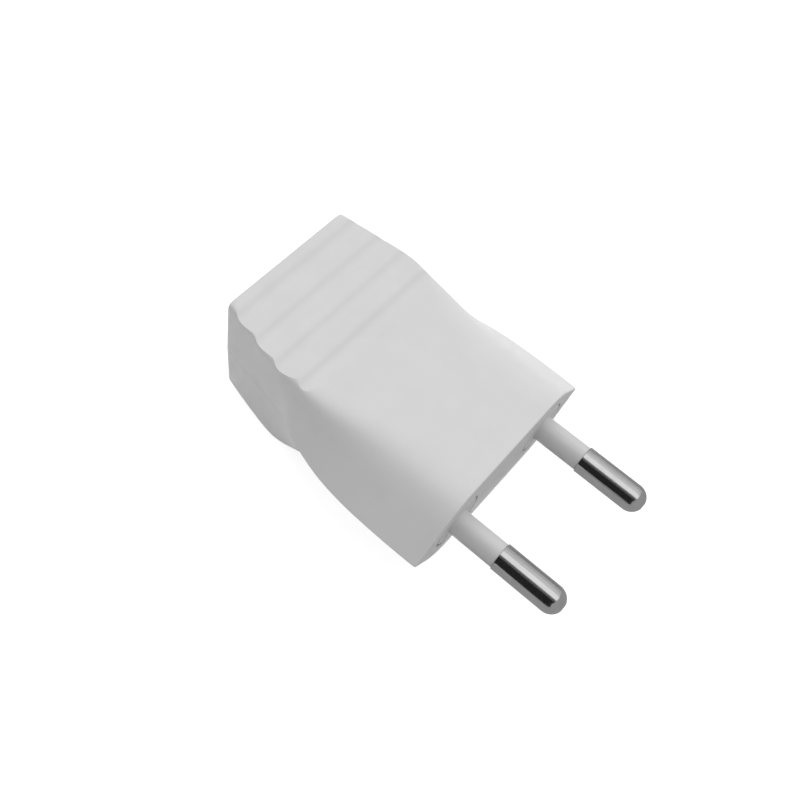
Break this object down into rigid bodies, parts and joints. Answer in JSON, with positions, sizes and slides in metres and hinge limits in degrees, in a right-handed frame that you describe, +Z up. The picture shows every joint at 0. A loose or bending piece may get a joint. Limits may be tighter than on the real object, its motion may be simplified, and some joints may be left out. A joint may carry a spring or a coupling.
{
  "type": "europlug",
  "caption": "Rewirable flat mains plug: sleeved round pins, a flared hexagonal front, a stepped finger grip and a round cord entry at the rear.",
  "frame": {"origin": "middle of the front face, on the parting plane, half way between the pins", "axes": "+X along the pins away from the case, +Y from the left pin to the right pin, +Z up out of the top face"},
  "size_m": [0.0565, 0.0368, 0.0198],
  "materials": {
    "shell_plastic": "fine satin moulding",
    "sleeve_plastic": "smooth satin moulding",
    "nickel_plate": "bright nickel plate on brass",
    "screw_steel": "zinc plated",
    "clamp_plastic": "plain moulding"
  },
  "bodies": {
    "root": {"upper_shell": "shell_plastic", "lower_shell": "shell_plastic", "left_pin": "nickel_plate", "right_pin": "nickel_plate", "left_pin_sleeve": "sleeve_plastic", "right_pin_sleeve": "sleeve_plastic", "left_terminal_screw": "screw_steel", "right_terminal_screw": "screw_steel", "left_clamp_screw": "screw_steel", "right_clamp_screw": "screw_steel", "cord_clamp": "clamp_plastic", "case_screw": "screw_steel"}
  },
  "joints": []
}
